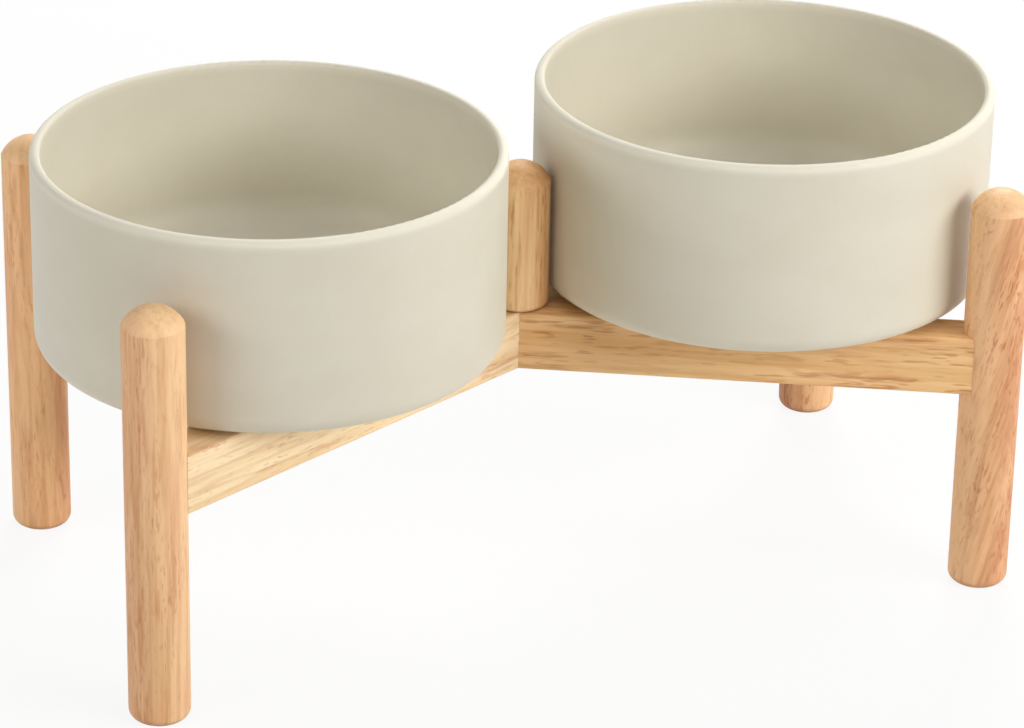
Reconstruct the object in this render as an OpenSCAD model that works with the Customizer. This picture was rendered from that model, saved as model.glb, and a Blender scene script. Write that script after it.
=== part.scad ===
// Raised feeder: two straight-walled ceramic bowls on a wooden stand.
// Two square bars cross in a half-lap joint. Their ends are hollowed to sit
// against four round legs, and a short round post stands on the crossing.
// Each bowl rests on two arms of the cross, between two legs and the post.
// Origin: on the floor under the post. +X runs to the right along the stand, +Y to the back.

/* [Bowls] */
// Outside diameter of a bowl
bowl_d = 154; // [120:0.5:200]
// Height of a bowl from its foot to its lip
bowl_h = 68.7; // [50:0.1:110]
// Thickness of the wall, rounded over at the lip
bowl_wall = 3.4; // [2.5:0.1:6]
// Radius of the lip's inner edge, the smaller one
lip_in_r = 1.2; // [0.5:0.1:1.5]
// Thickness of the floor above the hollow of the foot
bowl_floor_t = 4.5; // [3:0.1:12]
// Radius of the inside corner between wall and floor
bowl_floor_r = 12; // [3:0.5:15]
// Radius of the outside bottom edge
bowl_edge_r = 6; // [2:0.5:10]
// Outside diameter of the foot ring
foot_d = 138; // [80:1:140]
// Width of the foot ring
foot_w = 8; // [4:0.5:15]
// Height that the foot ring lifts the bottom edge
foot_h = 1.6; // [1:0.1:4]
// Radius of the foot ring's edges
foot_edge_r = 0.8; // [0.2:0.1:1]
// Depth of the hollow inside the foot ring
foot_hollow = 4.5; // [2:0.1:8]

/* [Legs and post] */
// Diameter of the legs
leg_d = 20; // [18:0.5:30]
// Height of the legs
leg_h = 143.5; // [120:0.5:220]
// Rounding of the edge round a leg's sole
leg_sole_r = 3.5; // [1:0.1:6]
// Diameter of the post between the bowls
post_d = 20; // [14:0.5:30]
// Rounding of the edge round the post's foot
post_sole_r = 2; // [0.5:0.1:4]
// Height of the domed top of legs and post
dome_h = 6.4; // [3:0.1:9]

/* [Cross bars] */
// Height of the bars' top face, where the bowls rest
seat_z = 92.6; // [60:0.1:110]
// Width of a bar
bar_w = 16; // [12:0.5:18]
// Height of a bar
bar_h = 20.5; // [14:0.5:30]
// Rounding of a bar's long edges
bar_edge_r = 1.2; // [0.3:0.1:3]

/* [Layout] */
// Gap between a bowl and the post
post_gap = 0.6; // [0.5:0.1:6]
// Least gap between a bowl and a leg
leg_gap = 0.7; // [0.4:0.1:6]
// How far the bars' crossing lies to the left of the post
cross_shift = 3; // [0:0.1:4]
// Turn of the line through both bowls, from the stand's length
bowl_turn = 1.4; // [0:0.1:3]
// Turn of each leg round its bowl, from the line through both bowls
leg_turn = 51.5; // [40:0.5:65]

/* [Joinery] */
// Diameter of the dowel between a bar and a leg
pin_d = 8; // [5:0.5:10]
// Length of that dowel inside the bar
pin_in_bar = 22; // [12:1:40]
// Length of that dowel inside the leg
pin_in_leg = 13; // [8:0.5:15]
// Chamfer on the dowel's ends
pin_chamfer = 1; // [0.3:0.1:2]
// Diameter of the screw up into the post
screw_d = 4; // [3:0.5:6]
// Diameter of the screw's countersunk head
screw_head_d = 8; // [7:0.5:12]
// Depth of the screw's head below the bars
screw_sink = 0.5; // [0.2:0.1:2]
// Length of the screw inside the post
screw_bite = 25; // [12:1:35]
// Length of the screw's point
screw_point = 5; // [2:0.5:8]
// Length of an arm of the cross recess in the screw's head
recess_l = 4.4; // [2:0.1:6]
// Width of an arm of the cross recess
recess_w = 1; // [0.5:0.1:1.5]
// Depth of the cross recess
recess_depth = 1.4; // [0.5:0.1:1.8]
// Glue line between wooden pieces, on each side
glue_line = 0.1; // [0.05:0.01:0.3]
// Clearance round the screw, on each side
screw_clear = 0.2; // [0.1:0.05:0.5]
// Spare depth at the end of a blind hole
hole_spare = 1; // [0.5:0.1:3]

/* [Hidden] */
$fn = 144;

bowl_r = bowl_d / 2;
leg_r = leg_d / 2;
post_r = post_d / 2;
pin_r = pin_d / 2;
screw_r = screw_d / 2;
head_r = screw_head_d / 2;

// Each bowl touches neither its legs nor the post: the gaps set every place in plan.
// The legs' places are taken from the bars' crossing.
bowl_x = post_r + post_gap + bowl_r;
play_x = cross_shift * cos(leg_turn);
play_y = bowl_x * sin(bowl_turn) * sin(leg_turn);
leg_reach = bowl_r + leg_gap + leg_r + play_x + play_y;
leg_x = bowl_x + leg_reach * cos(leg_turn);
leg_y = leg_reach * sin(leg_turn);
arm_l = norm([leg_x, leg_y]);
arm_turn = atan2(leg_y, leg_x);

// Directions of the four arms, from the crossing outwards
front_left = 180 + arm_turn;
front_right = -arm_turn;
back_left = 180 - arm_turn;
back_right = arm_turn;

bar_z = seat_z - bar_h;
lap_z = seat_z - bar_h / 2;
post_h = leg_h - seat_z;
head_z = bar_z + screw_sink;
tip_z = seat_z + screw_bite;
bowl_floor_z = foot_hollow + bowl_floor_t;

// Cuts run this far past the face that they open on.
cut_past = 1;

wood = [0.87, 0.70, 0.51];
glaze = [0.85, 0.83, 0.75];
steel = [0.70, 0.71, 0.73];

// Rectangle with its lower left corner at the origin and four round corners
module round_rect(size, r) {
    translate([r, 0]) square([size.x - 2 * r, size.y]);
    translate([0, r]) square([size.x, size.y - 2 * r]);
    for (x = [r, size.x - r], y = [r, size.y - r]) translate([x, y]) circle(r);
}

// Half outline of a solid of revolution with one round outer bottom corner
module round_foot(r, h, corner_r) {
    translate([0, corner_r]) square([r, h - corner_r]);
    square([r - corner_r, h]);
    translate([r - corner_r, corner_r]) circle(corner_r);
}

// Half outline of a round stick: a rounded sole below, a shallow dome above
module stick_outline(r, h, sole_r) {
    dome_r = (r * r + dome_h * dome_h) / (2 * dome_h);
    intersection() {
        round_foot(r, h, sole_r);
        union() {
            square([r, h - dome_h]);
            translate([0, h - dome_r]) circle(dome_r);
        }
    }
}

// Half outline of a bowl, standing on its foot ring
module bowl_outline() {
    lip_out_r = bowl_wall - lip_in_r;
    lip_x = bowl_r - lip_out_r;
    lip_z = bowl_h - lip_out_r;
    foot_r = foot_d / 2;
    difference() {
        union() {
            translate([0, foot_h]) round_foot(bowl_r, lip_z - foot_h, bowl_edge_r);
            intersection() {
                translate([lip_x, lip_z]) circle(lip_out_r);
                translate([lip_x, lip_z]) square(lip_out_r);
            }
            translate([lip_x - lip_in_r, lip_z]) square([lip_in_r, lip_out_r - lip_in_r]);
            translate([lip_x, bowl_h - lip_in_r]) circle(lip_in_r);
            translate([foot_r - foot_w, 0]) round_rect([foot_w, bowl_floor_z], foot_edge_r);
        }
        translate([0, bowl_floor_z]) round_foot(bowl_r - bowl_wall, bowl_h, bowl_floor_r);
        square([foot_r - foot_w, foot_hollow]);
    }
}

// side: -1 for the left bowl, 1 for the right one
module bowl(side) {
    color(glaze)
        rotate([0, 0, bowl_turn])
            translate([side * bowl_x, 0, seat_z])
                rotate_extrude()
                    bowl_outline();
}

// Places the bars, legs and dowels, which are drawn about the crossing
module at_crossing() {
    translate([-cross_shift, 0, 0]) children();
}

// Round hole along an arm, from one distance to another from the crossing
module along_arm(turn, from, to, r) {
    rotate([0, 0, turn])
        translate([from, 0, lap_z])
            rotate([0, 90, 0])
                cylinder(h = to - from, r = r);
}

// Blind hole for a dowel, in the bar on one side and in the leg on the other
module pin_hole(turn) {
    near = arm_l - leg_r - pin_in_bar - hole_spare;
    far = arm_l - leg_r + pin_in_leg + hole_spare;
    along_arm(turn, near, far, pin_r + glue_line);
}

module leg(turn) {
    color(wood)
        at_crossing()
            difference() {
                rotate([0, 0, turn])
                    translate([arm_l, 0, 0])
                        rotate_extrude()
                            stick_outline(leg_r, leg_h, leg_sole_r);
                pin_hole(turn);
            }
}

// Dowel with chamfered ends, half in the bar and half in the leg
module dowel(turn) {
    length = pin_in_bar + pin_in_leg;
    color(wood)
        at_crossing()
            rotate([0, 0, turn])
                translate([arm_l - leg_r - pin_in_bar, 0, lap_z])
                    rotate([0, 90, 0])
                        rotate_extrude()
                            polygon([
                                [0, 0],
                                [pin_r - pin_chamfer, 0],
                                [pin_r, pin_chamfer],
                                [pin_r, length - pin_chamfer],
                                [pin_r - pin_chamfer, length],
                                [0, length]
                            ]);
}

// Clear hole for the screw through the crossing, with the countersink below
module screw_hole() {
    hole_r = screw_r + screw_clear;
    sink_r = head_r + screw_clear;
    translate([0, 0, bar_z - cut_past])
        cylinder(h = bar_h + 2 * cut_past, r = hole_r);
    translate([0, 0, bar_z - cut_past])
        cylinder(h = screw_sink + cut_past, r = sink_r);
    translate([0, 0, head_z])
        cylinder(h = sink_r - hole_r, r1 = sink_r, r2 = hole_r);
}

// turn: direction of the bar. low, high: the heights that its lap leaves to the other bar
module cross_bar(turn, low, high) {
    color(wood)
        difference() {
            at_crossing()
                difference() {
                    rotate([0, 0, turn])
                        translate([-arm_l, 0, bar_z])
                            rotate([90, 0, 90])
                                linear_extrude(2 * arm_l)
                                    translate([-bar_w / 2, 0])
                                        round_rect([bar_w, bar_h], bar_edge_r);
                    rotate([0, 0, -turn])
                        translate([-arm_l, -bar_w / 2 - glue_line, low])
                            cube([2 * arm_l, bar_w + 2 * glue_line, high - low]);
                    for (end = [turn, turn + 180]) {
                        rotate([0, 0, end])
                            translate([arm_l, 0, bar_z - cut_past])
                                cylinder(h = bar_h + 2 * cut_past, r = leg_r + glue_line);
                        pin_hole(end);
                    }
                }
            screw_hole();
        }
}

// Bar notched from below, which runs over the other one
module cross_bar_over() {
    cross_bar(back_right, bar_z - cut_past, lap_z + glue_line / 2);
}

// Bar notched from above, which runs under the other one
module cross_bar_under() {
    cross_bar(front_right, lap_z - glue_line / 2, seat_z + cut_past);
}

// Short post on the crossing, drilled from below for the screw
module centre_post() {
    color(wood)
        translate([0, 0, seat_z])
            difference() {
                rotate_extrude()
                    stick_outline(post_r, post_h, post_sole_r);
                translate([0, 0, -cut_past])
                    cylinder(h = screw_bite + hole_spare + cut_past, r = screw_r + glue_line);
            }
}

// Countersunk wood screw, head down, with a cross recess
module centre_screw() {
    color(steel)
        difference() {
            rotate_extrude()
                polygon([
                    [0, head_z],
                    [head_r, head_z],
                    [screw_r, head_z + head_r - screw_r],
                    [screw_r, tip_z - screw_point],
                    [0, tip_z]
                ]);
            for (turn = [0, 90])
                rotate([0, 0, turn])
                    translate([-recess_l / 2, -recess_w / 2, head_z - cut_past])
                        cube([recess_l, recess_w, recess_depth + cut_past]);
        }
}

bowl(-1);  // bowl_left
bowl(1);  // bowl_right
leg(front_left);  // leg_front_left
leg(front_right);  // leg_front_right
leg(back_left);  // leg_back_left
leg(back_right);  // leg_back_right
centre_post();
cross_bar_over();
cross_bar_under();
dowel(front_left);  // dowel_front_left
dowel(front_right);  // dowel_front_right
dowel(back_left);  // dowel_back_left
dowel(back_right);  // dowel_back_right
centre_screw();
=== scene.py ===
from math import atan2, cos, radians, sin

import bpy
import numpy as np
from mathutils import Euler, Matrix, Vector


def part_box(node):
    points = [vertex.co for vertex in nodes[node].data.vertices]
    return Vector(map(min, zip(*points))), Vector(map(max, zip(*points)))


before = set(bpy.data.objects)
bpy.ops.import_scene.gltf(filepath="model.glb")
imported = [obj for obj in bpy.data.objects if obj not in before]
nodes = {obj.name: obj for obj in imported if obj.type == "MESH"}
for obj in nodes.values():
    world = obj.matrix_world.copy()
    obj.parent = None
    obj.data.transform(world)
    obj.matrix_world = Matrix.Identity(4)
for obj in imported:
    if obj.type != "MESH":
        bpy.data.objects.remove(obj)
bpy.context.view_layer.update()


# Cross bars
# Two planed bars of pale hardwood that cross in a half-lap under the post. Their long edges
# are eased, their ends are hollowed to the legs, and a satin clear lacquer covers all of it.

class Wire:
    """A shader socket that takes part in sums: each operator adds one Math node to its tree."""

    def __init__(self, tree, socket=None):
        self.tree = tree
        self.socket = socket

    def add(self, kind, settings=None, sockets=None, out=0):
        """Adds a node of any type: its settings first, then the values or links of its sockets."""
        node = self.tree.nodes.new("ShaderNode" + kind)
        for name, value in (settings or {}).items():
            setattr(node, name, value)
        for name, value in (sockets or {}).items():
            if isinstance(value, Wire):
                self.tree.links.new(value.socket, node.inputs[name])
            else:
                node.inputs[name].default_value = value
        return Wire(self.tree, node.outputs[out] if node.outputs else None)

    def outlet(self, name):
        """Another output of the node that this socket belongs to."""
        return Wire(self.tree, self.socket.node.outputs[name])

    def math(self, operation, first, second=0.0):
        return self.add("Math", {"operation": operation}, {0: first, 1: second})

    def vector(self, operation, first, second=(0.0, 0.0, 0.0), out="Vector"):
        return self.add("VectorMath", {"operation": operation}, {0: first, 1: second}, out)

    def __add__(self, other):
        return self.math("ADD", self, other)

    __radd__ = __add__

    def __sub__(self, other):
        return self.math("SUBTRACT", self, other)

    def __rsub__(self, other):
        return self.math("SUBTRACT", other, self)

    def __mul__(self, other):
        return self.math("MULTIPLY", self, other)

    __rmul__ = __mul__

    def __truediv__(self, other):
        return self.math("DIVIDE", self, other)

    def step(self, low, high):
        """Smooth rise from 0 at low to 1 at high."""
        bounds = {"Value": self, "From Min": low, "From Max": high}
        return self.add("MapRange", {"interpolation_type": "SMOOTHSTEP"}, bounds)

    def blend(self, first, second):
        """Colour that goes from first to second as this value goes from 0 to 1."""
        return self.add("Mix", {"data_type": "RGBA"}, {0: self, 6: first, 7: second}, out=2)

    def grains(self, across, along, detail=2.0):
        """Noise on this vector, with features of these sizes in metres across and along its Z axis."""
        rates = (1 / across, 1 / across, 1 / along)
        stretched = self.vector("MULTIPLY", self, rates)
        return self.add("TexNoise", None, {"Vector": stretched, "Scale": 1.0, "Detail": detail})


def srgb(red, green, blue):
    """Linear colour of an sRGB colour given in steps of 255."""
    values = np.array([red, green, blue]) / 255
    linear = np.where(values <= 0.04045, values / 12.92, ((values + 0.055) / 1.055) ** 2.4)
    return (*linear.tolist(), 1.0)


def fresh_material(name):
    """A material with an empty node tree, and that tree wrapped for adding nodes."""
    material = bpy.data.materials.new(name)
    material.use_nodes = True
    material.node_tree.nodes.clear()
    return material, Wire(material.node_tree)


def dress(node_name, material):
    """Gives a CAD piece its finish."""
    slots = nodes[node_name].data.materials
    slots.clear()
    slots.append(material)


def lacquered_wood(name, centre, turns, pith, lean, pale, honey, rosiness, crown, pore,
                   heart_and_shade=(0.0, 0.0)):
    """Solid hardwood: growth rings round a pith line, tone bands, brown streaks and short pores.

    centre and turns place the stick's own axes, with Z along the fibres. pith is the place of
    the trunk's pith on X and Y, in metres, and lean is its slope along the fibres. The figure is
    laid out from the pith, so sticks from other places in the trunk differ. pale and honey
    are the colours of early and late wood, and rosiness is the share of pink in some bands.
    crown is the colour of the top end. pore holds a pore's size across and along the fibres,
    and how strongly it shows. heart is a level direction to the stick's darker side, and its
    length is how much darker that side is at heart_and_shade_reach from the middle. That side is
    partly a darker, redder tone of the wood and partly painted shade where the stick stands in shade.
    """
    material, w = fresh_material(name)
    place = w.add("TexCoord", out="Object")
    stick_axes = Euler(turns).to_matrix()
    fibre_axis = stick_axes.col[2]
    trunk = w.add("Mapping", {"vector_type": "TEXTURE"}, {
        "Vector": place, "Location": centre + stick_axes @ Vector((*pith, 0)), "Rotation": turns})

    # The darker side: a redder, darker tone of the wood, and painted shade on the side that stands in
    # shade
    heart_and_shade_reach = 0.010
    from_middle = w.vector("SUBTRACT", place, centre)
    heart_and_shade_share = w.vector("DOT_PRODUCT", from_middle, (*heart_and_shade, 0.0), out="Value") / heart_and_shade_reach

    # Rings: distance from the pith line, bent by slow noise, and dark at the end of each ring
    ring_width, ring_wander = 0.0042, 1.6
    split = w.add("SeparateXYZ", None, {"Vector": trunk})
    off_x = split.outlet("X") + lean * split.outlet("Z")
    off_y = split.outlet("Y")
    radius = w.math("SQRT", off_x * off_x + off_y * off_y)
    wander = trunk.grains(across=0.012, along=0.09)
    ring = w.math("FRACT", radius / ring_width + ring_wander * wander)
    late_wood = ring.step(low=0.25, high=0.9) * (1 - ring.step(low=0.9, high=1.0))

    # Tone: rings, fibres and slow bands share out the honey colour, and some bands turn rosy; the
    # darker side, partly painted shade, adds honey and rose
    base_share, ring_share, fibre_share, flow_share, noise_mean = 0.28, 0.30, 0.75, 1.4, 0.5
    rose = srgb(230, 170, 127)
    fibre = trunk.grains(across=0.0009, along=0.03, detail=3.0)
    flow = trunk.grains(across=0.006, along=0.12)
    dark_share = (ring_share * late_wood + fibre_share * (fibre - noise_mean)
                  + flow_share * (flow - noise_mean) + heart_and_shade_share + base_share)
    body = dark_share.step(low=0.0, high=1.0).blend(pale, honey)
    drift = trunk.grains(across=0.009, along=0.08).step(low=0.42, high=0.70)
    toned = ((drift + heart_and_shade_share) * rosiness).blend(body, rose)

    # Ends: a colour of their own on the top, and painted shade on the sole
    crown_weight, sole_shade_weight, sole_shade = 0.55, 0.6, srgb(160, 112, 72)
    facing = w.vector("DOT_PRODUCT", place.outlet("Normal"), fibre_axis, out="Value")
    top = facing.step(low=0.28, high=0.6)
    sole = (-1 * facing).step(low=0.2, high=0.8)
    ended = (sole_shade_weight * sole).blend((crown_weight * top).blend(toned, crown), sole_shade)

    # Streaks and pores: they crowd in clusters, most on the darker side, which is partly painted
    # shade, and fade on the top
    streak_brown, pore_brown = srgb(186, 108, 44), srgb(172, 86, 14)
    streak_weight, heart_and_shade_crowd, top_fade = 0.45, 0.6, 0.6
    stray_streaks, stray_pores = 0.3, 0.25
    crowd = trunk.grains(across=0.007, along=0.05).step(low=0.38, high=0.62)
    cluster = w.math("MAXIMUM", crowd + heart_and_shade_crowd * heart_and_shade_share, 0.0)
    streak_noise = trunk.grains(across=0.0017, along=0.022, detail=3.0)
    streaks = streak_noise.step(low=0.47, high=0.68) * (stray_streaks + (1 - stray_streaks) * cluster)
    pore_noise = trunk.grains(pore["across"], pore["along"], detail=1.0)
    pores = pore_noise.step(low=0.56, high=0.70) * (stray_pores + (1 - stray_pores) * cluster)
    kept = 1 - top_fade * top
    streaked = (streak_weight * streaks * kept).blend(ended, streak_brown)
    colour = (pore["weight"] * pores * kept).blend(streaked, pore_brown)

    lacquer_roughness, fibre_roughness, fibre_relief = 0.52, 0.10, 0.25
    bump = w.add("Bump", None, {"Strength": 0.2, "Distance": 0.0003, "Height": fibre_relief * fibre})
    finish = w.add("BsdfPrincipled", None, {
        "Base Color": colour, "Roughness": lacquer_roughness + fibre_roughness * fibre,
        "Normal": bump, "Coat Weight": 0.06, "Coat Roughness": 0.4})
    w.add("OutputMaterial", None, {"Surface": finish})
    return material


low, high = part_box("cross_bar_over")
crossing = (low + high) / 2
low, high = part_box("leg_back_right")
arm = (low + high) / 2 - crossing
arm_turn = atan2(arm.y, arm.x)
quarter_turn = radians(90)

straw = dict(pale=srgb(254, 230, 187), honey=srgb(241, 206, 155), rosiness=0.15,
             crown=srgb(252, 226, 182), pore=dict(across=0.0008, along=0.0045, weight=0.4))
gold = dict(pale=srgb(247, 205, 147), honey=srgb(229, 178, 115), rosiness=0.15,
            crown=srgb(247, 205, 147), pore=dict(across=0.0012, along=0.009, weight=0.5))

dress("cross_bar_over", lacquered_wood(
    "bar_over_wood", crossing, turns=(0, quarter_turn, arm_turn), pith=(0.035, 0.012), lean=0.03,
    **straw))
dress("cross_bar_under", lacquered_wood(
    "bar_under_wood", crossing, turns=(0, quarter_turn, -arm_turn), pith=(-0.02, 0.03), lean=-0.04,
    **gold))


# Dowels
# Four beech dowels, one glued into each bar end and its leg. They are sealed in the joints.

corner_sides = {"front_left": (-1, -1), "front_right": (1, -1),
                "back_left": (-1, 1), "back_right": (1, 1)}
for corner, (side, depth) in corner_sides.items():
    out_turn = atan2(depth * arm.y, side * arm.x)
    dress("dowel_" + corner, lacquered_wood(
        "dowel_wood_" + corner, crossing, turns=(0, quarter_turn, out_turn), pith=(0.02, 0.0),
        lean=0.0, **straw))


# Legs
# Four lengths of round stick, sanded to a shallow dome at the top and eased at the sole,
# lacquered like the bars.

top_end_colour = srgb(251, 208, 156)
fine_pore = dict(across=0.0007, along=0.0045, weight=0.35)
rosy = dict(pale=srgb(247, 203, 154), honey=srgb(221, 166, 114), rosiness=0.7, crown=top_end_colour,
            pore=fine_pore)
amber = dict(pale=srgb(247, 196, 143), honey=srgb(221, 158, 104), rosiness=0.5, crown=top_end_colour,
             pore=fine_pore)
# A redder, darker tone for the two right legs, partly their own wood and partly painted shade.
ruddy_and_shaded = dict(pale=srgb(240, 192, 143), honey=srgb(202, 143, 97), rosiness=0.4, crown=top_end_colour,
             pore=dict(across=0.0009, along=0.0045, weight=0.55))
# Each leg's darker side is partly its own tone and partly painted shade: the back right leg stands in
# shade, and the front right leg is darkened on its right side.
leg_grain = {
    "front_left": dict(turns=(0, 0, 0), pith=(0.05, 0.02), lean=0.01, heart_and_shade=(-0.3, 0.11), **rosy),
    "front_right": dict(turns=(0, radians(15), radians(-21)), pith=(-0.012, 0.03), lean=0.1,
                        heart_and_shade=(0.5, -0.2), **ruddy_and_shaded),
    "back_left": dict(turns=(0, radians(-3), 0), pith=(0.03, -0.03), lean=-0.05,
                      heart_and_shade=(0.3, 0.05), **amber),
    "back_right": dict(turns=(0, radians(4), 0), pith=(-0.04, 0.01), lean=0.08,
                       heart_and_shade=(-0.7, 0.3), **ruddy_and_shaded)}
for corner, grain in leg_grain.items():
    low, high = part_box("leg_" + corner)
    dress("leg_" + corner, lacquered_wood("leg_wood_" + corner, (low + high) / 2, **grain))


# Centre post and its screw
# A short length of the same stick on the crossing, drawn down by one zinc-plated wood screw.

low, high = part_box("centre_post")
# Its right side is darkened as painted shade, and its top end takes a darker colour.
dress("centre_post", lacquered_wood(
    "post_wood", (low + high) / 2, turns=(0, 0, 0), pith=(0.02, 0.035), lean=-0.06,
    pale=srgb(255, 219, 163), honey=srgb(226, 172, 112), rosiness=0.3, crown=srgb(216, 156, 98),
    pore=dict(across=0.0009, along=0.007, weight=0.4), heart_and_shade=(0.28, -0.1)))

dull_zinc, bright_zinc = srgb(176, 178, 182), srgb(205, 206, 208)
zinc_roughness, brush_roughness = 0.28, 0.2
zinc, w = fresh_material("screw_zinc")
place = w.add("TexCoord", out="Object")
brush = place.grains(across=0.0004, along=0.004)
plating = w.add("BsdfPrincipled", None, {
    "Base Color": brush.blend(dull_zinc, bright_zinc), "Metallic": 1.0,
    "Roughness": zinc_roughness + brush_roughness * brush})
w.add("OutputMaterial", None, {"Surface": plating})
dress("centre_screw", zinc)


# Bowls
# Two cast stoneware bowls in a matt oatmeal glaze, with bare clay only under the foot ring.
# They stand loose on the bars, between the legs and the post.

def stoneware(name, bottom, top):
    """Matt glaze over stoneware: faint mottling, paler on the floor where the glaze pools, with a
    painted pool of light there, thin and dry over the lip with a painted highlight along it, and none
    under the foot.

    bottom and top are the corners of the bowl's box, which give its foot, lip, axis and radius.
    """
    oat, shade, speck = srgb(217, 211, 193), srgb(213, 206, 187), srgb(190, 178, 152)
    lip_glaze_and_highlight, pool_glaze_and_light, bare_clay = srgb(248, 242, 224), srgb(238, 233, 217), srgb(226, 216, 199)
    fleck_weight, pool_light_weight, lip_highlight_weight, shoulder_highlight_weight = 0.08, 0.6, 0.3, 0.25
    # Depths below the lip, distances inside the rim, and heights above the foot
    lip_start, lip_full = 0.004, 0.0005
    shoulder_start, shoulder_full = 0.0028, 0.0012
    pool_edge, pool_end = 0.014, 0.007
    floor_full, floor_end = 0.009, 0.015
    clay_full, clay_end = 0.0004, 0.0009

    material, w = fresh_material(name)
    place = w.add("TexCoord", out="Object")
    height = w.add("SeparateXYZ", None, {"Vector": place}, out="Z")
    from_axis = w.vector("SUBTRACT", place, (bottom + top) / 2)
    level = w.vector("MULTIPLY", from_axis, (1.0, 1.0, 0.0))
    radius = w.vector("LENGTH", level, out="Value")
    rim_radius = (top.x - bottom.x) / 2

    lip = height.step(low=top.z - lip_start, high=top.z - lip_full)
    shoulder = lip * radius.step(low=rim_radius - shoulder_start, high=rim_radius - shoulder_full)
    on_floor = 1 - height.step(low=bottom.z + floor_full, high=bottom.z + floor_end)
    pool = on_floor * (1 - radius.step(low=rim_radius - pool_edge, high=rim_radius - pool_end))
    foot = 1 - height.step(low=bottom.z + clay_full, high=bottom.z + clay_end)

    cloud = place.grains(across=0.03, along=0.02)
    fleck = place.grains(across=0.0011, along=0.0011, detail=1.0).step(low=0.66, high=0.74)
    clouded = cloud.step(low=0.2, high=0.8).blend(oat, shade)
    mottled = (fleck_weight * fleck).blend(clouded, speck)
    # The floor inside: pooled glaze, and a painted pool of light
    glaze = (pool_light_weight * pool).blend(mottled, pool_glaze_and_light)
    # The lip and its outer shoulder: thin glaze, and a painted highlight along the rim
    lip_highlighted = (lip_highlight_weight * lip + shoulder_highlight_weight * shoulder).blend(glaze, lip_glaze_and_highlight)
    colour = foot.blend(lip_highlighted, bare_clay)

    glaze_roughness, cloud_roughness, dry_roughness, fine_peel = 0.46, 0.06, 0.35, 0.3
    roughness = (glaze_roughness + cloud_roughness * cloud + dry_roughness * foot
                 + dry_roughness * lip)
    peel = (place.grains(across=0.0035, along=0.0035)
            + fine_peel * place.grains(across=0.0008, along=0.0008))
    bump = w.add("Bump", None, {"Strength": 0.12, "Distance": 0.0004, "Height": peel})
    finish = w.add("BsdfPrincipled", None, {
        "Base Color": colour, "Roughness": roughness, "Normal": bump})
    w.add("OutputMaterial", None, {"Surface": finish})
    return material


for side in ("left", "right"):
    low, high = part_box("bowl_" + side)
    dress("bowl_" + side, stoneware("bowl_glaze_" + side, low, high))


# Studio
# A matt floor that runs out into a white surround, five soft lamps, the broadest at the front
# right and at the left, and the camera at the photograph's angle.

def seen_directly(w):
    """1 for the rays that show the background: from the camera, off gloss and through glass."""
    rays = w.add("LightPath", out="Is Camera Ray")
    shown = rays + rays.outlet("Is Glossy Ray") + rays.outlet("Is Transmission Ray")
    return w.math("MINIMUM", shown, 1.0)


floor_half, floor_white, white = 6.0, 0.90, (1, 1, 1, 1)
corners = np.array([(-1, -1, 0), (1, -1, 0), (1, 1, 0), (-1, 1, 0)]) * floor_half
floor_mesh = bpy.data.meshes.new("floor")
floor_mesh.from_pydata(corners.tolist(), [], [(0, 1, 2, 3)])
floor = bpy.data.objects.new("floor", floor_mesh)
bpy.context.scene.collection.objects.link(floor)
paper, w = fresh_material("floor_paper")
matt = w.add("BsdfDiffuse", None, {"Color": srgb(240, 240, 238)})
plain = w.add("Emission", None, {"Color": white, "Strength": 1.0})
w.add("OutputMaterial", None, {"Surface": w.add("MixShader", None, {
    0: floor_white * seen_directly(w), 1: matt, 2: plain})})
floor.data.materials.append(paper)

ambient = 0.02
world = bpy.data.worlds.new("surround")
bpy.context.scene.world = world
world.use_nodes = True
world.node_tree.nodes.clear()
w = Wire(world.node_tree)
w.add("OutputWorld", None, {"Surface": w.add("Background", None, {
    "Color": white, "Strength": ambient + (1 - ambient) * seen_directly(w)})})

aim = Vector((-0.0034, -0.0040, 0.0719))


def facing_aim(azimuth, elevation, distance):
    """Matrix of a lamp or camera that looks at the aim point from this direction and distance.

    Azimuth is in degrees from the front, with the right side at 90.
    """
    turn, rise = radians(azimuth), radians(elevation)
    away = Vector((sin(turn) * cos(rise), -cos(turn) * cos(rise), sin(rise)))
    look = away.to_track_quat("Z", "Y").to_matrix().to_4x4()
    return Matrix.Translation(aim + away * distance) @ look


def softbox(name, azimuth, elevation, width, height, power):
    """Rectangular area light that faces the object from this direction."""
    lamp_distance = 1.7
    light = bpy.data.lights.new(name, "AREA")
    light.shape = "RECTANGLE"
    light.size = width
    light.size_y = height
    light.energy = power
    lamp = bpy.data.objects.new(name, light)
    bpy.context.scene.collection.objects.link(lamp)
    lamp.matrix_world = facing_aim(azimuth, elevation, lamp_distance)


softbox("key_light", azimuth=40, elevation=25, width=1.2, height=0.65, power=21)
softbox("side_light", azimuth=95, elevation=25, width=0.6, height=0.6, power=2.5)
softbox("left_light", azimuth=-76, elevation=24, width=1.2, height=0.65, power=11)
softbox("back_light", azimuth=150, elevation=40, width=0.7, height=0.7, power=19.2)
softbox("top_light", azimuth=20, elevation=78, width=0.9, height=0.9, power=5.2)

camera_roll = radians(1.10)
camera_data = bpy.data.cameras.new("camera")
camera_data.lens = 157.2
camera_data.clip_end = 50.0
camera = bpy.data.objects.new("camera", camera_data)
bpy.context.scene.collection.objects.link(camera)
level_view = facing_aim(azimuth=-21.06, elevation=25.35, distance=1.50)
camera.matrix_world = level_view @ Matrix.Rotation(camera_roll, 4, "Z")
bpy.context.scene.camera = camera
bpy.context.scene.view_settings.view_transform = "Standard"
